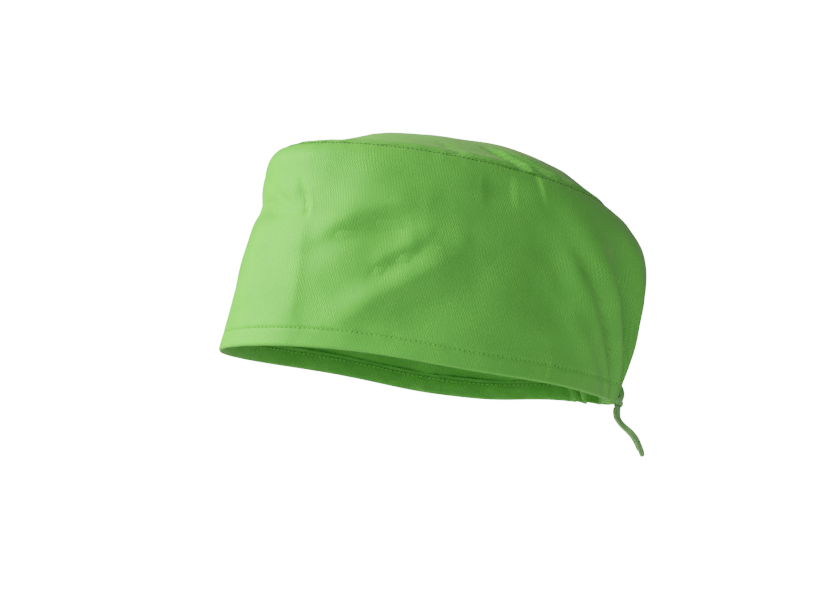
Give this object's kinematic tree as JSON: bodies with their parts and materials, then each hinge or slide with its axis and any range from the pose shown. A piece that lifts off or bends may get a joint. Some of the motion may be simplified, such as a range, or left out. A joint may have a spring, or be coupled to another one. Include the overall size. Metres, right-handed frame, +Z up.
{
  "type": "surgical cap",
  "caption": "Cloth surgical cap as worn: tall wrap-round band, domed top panel, stitched hem casing and a tie knotted at the nape.",
  "frame": {"origin": "middle of the opening that the head goes into, at the rim", "axes": "+Z up as the cap is worn, -Y toward the brow, +Y toward the knot at the nape, +X toward the wearer's left"},
  "size_m": [0.1612, 0.2472, 0.1813],
  "materials": {
    "cap_cloth": "matt woven twill",
    "tie_tape": "matt narrow tape"
  },
  "bodies": {
    "root": {"side_band": "cap_cloth", "top_panel": "cap_cloth", "hem": "cap_cloth", "tie_knot": "tie_tape", "tie_end_near": "tie_tape", "tie_end_far": "tie_tape"}
  },
  "joints": []
}
